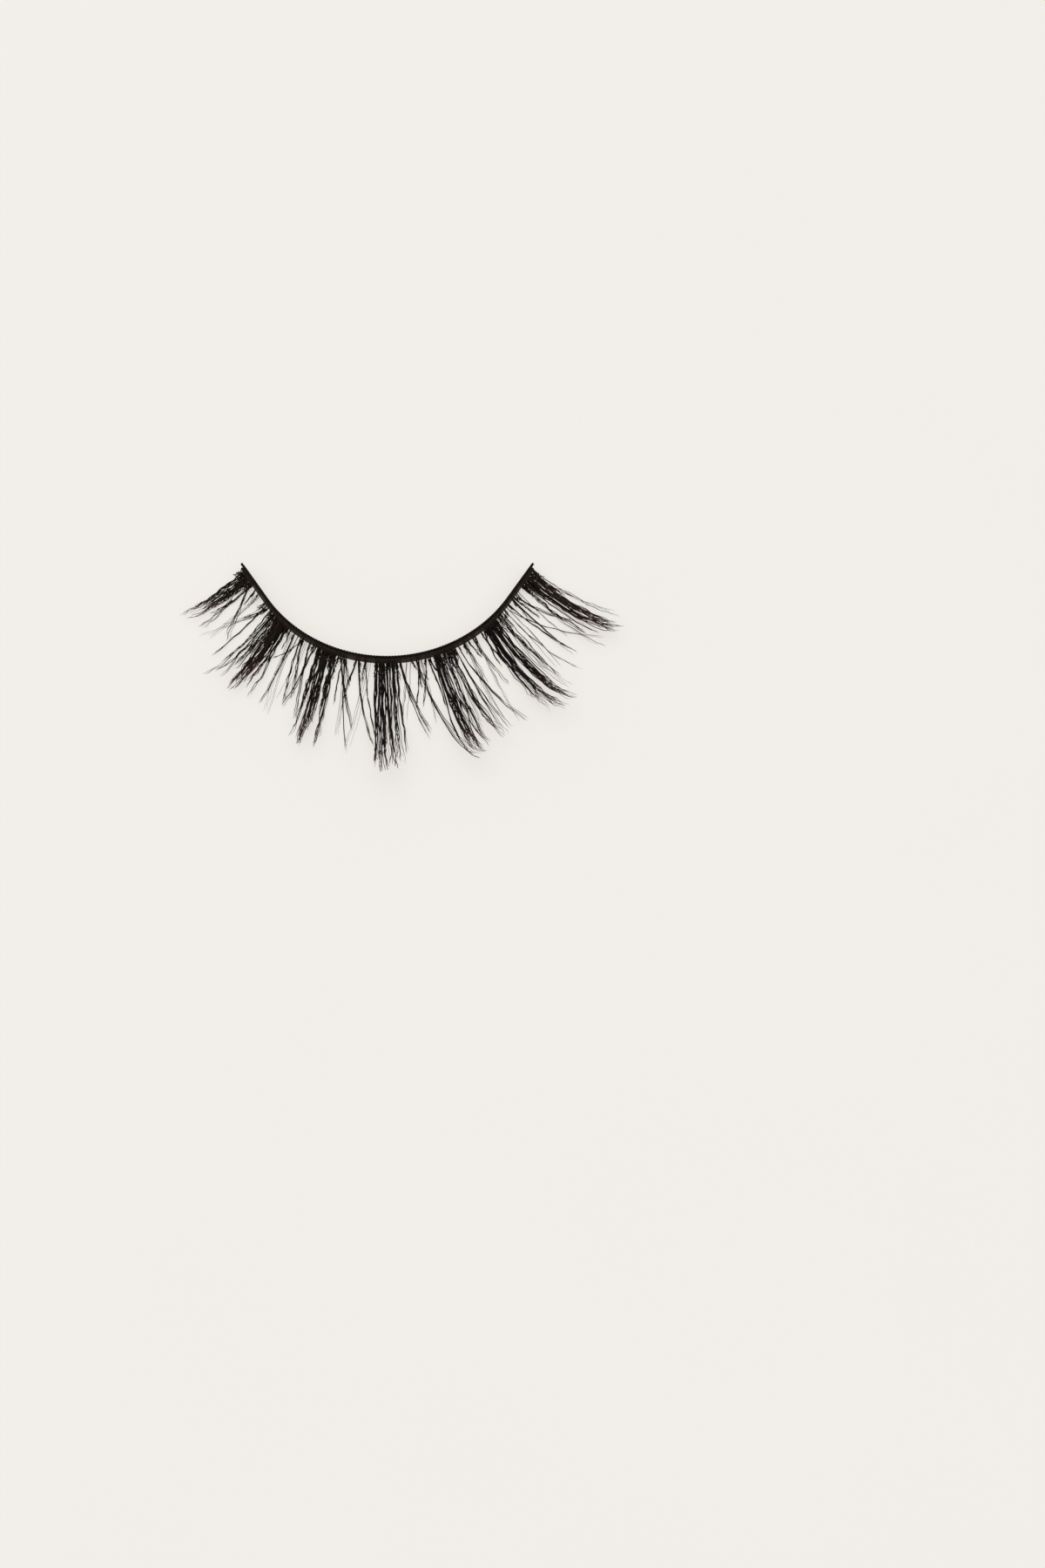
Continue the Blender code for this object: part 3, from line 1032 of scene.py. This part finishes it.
@dataclass
class EdgeThread:
    """The black thread along the band's top edge: three plies, twisted."""

    line: BandLine
    diameter: float = 0.00028
    overhang: float = 0.00035
    bedded: float = 0.00003  # depth that it is glued into the tape's top edge
    plies: int = 3
    twist_length: float = 0.00085
    steps_each_turn: int = 12
    ply_corners: int = 7

    def build(self, thread: bpy.types.Material) -> bpy.types.Object:
        """Lay three circles round the thread's axis, screw them along it and bend the thread over the band.

        Args:
            thread: the thread's material.

        Returns:
            The finished piece.
        """
        line = self.line
        length = line.length + 2 * self.overhang
        ply_radius = self.diameter / 2 / (1 + 2 / math.sqrt(3))
        ply_centre = self.diameter / 2 - ply_radius
        plies = []
        for k in range(self.plies):
            start_piece()
            turn = 2 * math.pi * k / self.plies
            bpy.ops.mesh.primitive_circle_add(
                vertices=self.ply_corners, radius=ply_radius, rotation=(0, math.pi / 2, 0),
                location=(0, ply_centre * math.cos(turn), ply_centre * math.sin(turn)))
            bpy.ops.object.transform_apply(location=True, rotation=True, scale=True)
            plies.append(bpy.context.object)
        for ply in plies:
            ply.select_set(True)
        bpy.ops.object.join()
        piece = bpy.context.object
        piece.name = "twisted_thread"
        turns = length / self.twist_length
        screw = piece.modifiers.new("twist", "SCREW")
        screw.axis = "X"
        screw.angle = 2 * math.pi * turns
        screw.screw_offset = length
        screw.steps = screw.render_steps = round(turns * self.steps_each_turn)
        screw.use_smooth_shade = True
        bpy.ops.object.modifier_apply(modifier=screw.name)
        bpy.ops.object.mode_set(mode="EDIT")
        bpy.ops.mesh.select_mode(type="EDGE")
        bpy.ops.mesh.select_all(action="DESELECT")
        bpy.ops.mesh.select_non_manifold()
        bpy.ops.mesh.edge_face_add()
        bpy.ops.mesh.select_all(action="SELECT")
        bpy.ops.mesh.normals_make_consistent(inside=False)
        centre_height = line.height - self.bedded + self.diameter / 2
        bpy.ops.transform.translate(value=(0, -line.thickness / 2, centre_height))
        bpy.ops.object.mode_set(mode="OBJECT")
        bend_along(piece, line, self.overhang)
        piece.data.materials.append(thread)
        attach(piece, BODY)
        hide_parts("edge_thread")
        return piece


@dataclass
class Hair:
    """All the hair on the band: seven locks and the six wispy tufts between them."""

    fan: Fan
    curl: Curl
    lock_hair: HairShape
    wisp_hair: HairShape
    lock_depth: float = 0.00040
    lock_gather: float = 0.18
    lock_crowd: float = 1.08
    wisp_length: float = 0.0130
    wisp_depth: float = 0.00020
    wisp_gather: float = 0.05
    wisp_crowd: float = 0.9
    lock_seed: int = 100
    tuft_seed: int = 200

    def lock(self, number: int) -> HairPiece:
        """Plan a lock.

        Args:
            number: the lock, counted from 0 at the inner corner.

        Returns:
            The lock, ready to build.
        """
        row = LOCKS[number]
        return HairPiece(
            name=f"lock_hairs_{number + 1}",
            centre=self.fan.lock_centre(number),
            place=self.fan.lock_place(),
            length=self.curl.lock_length * row.length,
            depth=self.lock_depth,
            gather=self.lock_gather,
            crowd=self.lock_crowd,
            clumps=row.clumps + LOCK_FILL,
            seed=self.lock_seed + number,
            fan=self.fan,
            curl=self.curl,
            hair=self.lock_hair,
        )

    def tuft(self, number: int) -> HairPiece:
        """Plan a tuft.

        Args:
            number: the tuft, counted from 0 at the inner corner.

        Returns:
            The tuft, ready to build.
        """
        row = TUFTS[number]
        return HairPiece(
            name=f"tuft_hairs_{number + 1}",
            centre=self.fan.lock_centre(number + 0.5),
            place=self.fan.lock_place() * self.fan.tuft_to_lock,
            length=self.wisp_length * row.length,
            depth=self.wisp_depth,
            gather=self.wisp_gather,
            crowd=self.wisp_crowd,
            clumps=row.clumps + TUFT_FILL,
            seed=self.tuft_seed + number,
            fan=self.fan,
            curl=self.curl,
            hair=self.wisp_hair,
        )

    def build(self, fibre: bpy.types.Material) -> list[bpy.types.Object]:
        """Build every lock and tuft, and let each stand for its node.

        Args:
            fibre: the hairs' material.

        Returns:
            The finished pieces.
        """
        plan = [(f"lash_lock_{k + 1}", self.lock(k)) for k in range(len(LOCKS))]
        plan += [(f"wisp_tuft_{k + 1}", self.tuft(k)) for k in range(len(TUFTS))]
        made = []
        for node, hair_piece in plan:
            piece = hair_piece.build(fibre)
            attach(piece, BODY)
            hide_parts(node)
            made.append(piece)
        return made


@dataclass
class Studio:
    """The pale floor, the soft light and the camera at the photograph's angle."""

    image_width: int = 1200
    image_height: int = 1800
    pixels_each_metre: float = 12250.0
    elevation: float = math.radians(65)
    lens: float = 180.0
    sensor: float = 36.0
    band_top: tuple[float, float, float] = (0.0, 0.000175, 0.001)  # shows at the pixel below
    band_top_right: float = 444.0
    band_top_down: float = 753.0
    floor_size: float = 3.0
    sky: str = "#ffffff"
    sky_strength: float = 0.80
    light_size: float = 0.7
    light_height: float = 0.9
    light_power: float = 1.9

    def build(self, opal: bpy.types.Material) -> None:
        """Set up the floor, the light and the camera.

        Args:
            opal: the floor's material.
        """
        start_piece()
        bpy.ops.mesh.primitive_plane_add(size=self.floor_size)
        floor = bpy.context.object
        floor.name = "floor"
        floor.data.materials.append(opal)
        self.light()
        self.camera()
        bpy.context.scene.view_settings.view_transform = "Standard"

    def light(self) -> None:
        """An even sky and one large soft light overhead."""
        world = bpy.data.worlds.new("sky")
        world.use_nodes = True
        background = world.node_tree.nodes["Background"]
        background.inputs["Color"].default_value = linear(self.sky)
        background.inputs["Strength"].default_value = self.sky_strength
        bpy.context.scene.world = world
        bpy.ops.object.light_add(type="AREA", location=(-0.15, 0.10, self.light_height))
        lamp = bpy.context.object
        lamp.name = "soft_light"
        lamp.data.shape = "SQUARE"
        lamp.data.size = self.light_size
        lamp.data.energy = self.light_power
        lamp.rotation_mode = "QUATERNION"
        lamp.rotation_quaternion = Vector(lamp.location).to_track_quat("Z", "Y")

    def camera(self) -> None:
        """A long lens, so placed that the middle of the band's top shows where the photograph has it."""
        right = Vector((1, 0, 0))
        up = Vector((0, math.sin(self.elevation), math.cos(self.elevation)))
        back = Vector((0, -math.cos(self.elevation), math.sin(self.elevation)))
        distance = self.lens * self.image_height / self.pixels_each_metre / self.sensor
        aim = Vector(self.band_top)
        aim += right * (self.image_width / 2 - self.band_top_right) / self.pixels_each_metre
        aim -= up * (self.image_height / 2 - self.band_top_down) / self.pixels_each_metre
        data = bpy.data.cameras.new("camera")
        data.lens = self.lens
        data.sensor_width = self.sensor
        data.clip_start = distance / 10
        data.clip_end = distance * 10
        camera = bpy.data.objects.new("camera", data)
        bpy.context.scene.collection.objects.link(camera)
        camera.location = aim + back * distance
        camera.rotation_mode = "QUATERNION"
        camera.rotation_quaternion = back.to_track_quat("Z", "Y")
        bpy.context.scene.camera = camera


def report(piece: bpy.types.Object) -> None:
    """Log a finished piece's name and number of faces."""
    log.info("%s: %d faces", piece.name, len(piece.data.polygons))


def main() -> None:
    """Build the strip piece by piece, then the studio."""
    logging.basicConfig(level=logging.INFO, format="%(message)s")
    line = BandLine()
    report(Band(line).build(CottonFinish().material()))
    report(EdgeThread(line).build(ThreadFinish().material()))
    for piece in Hair(Fan(line), Curl(), LOCK_HAIR, WISP_HAIR).build(FibreFinish().material()):
        report(piece)
    Studio().build(OpalFinish().material())


if __name__ == "__main__":
    main()
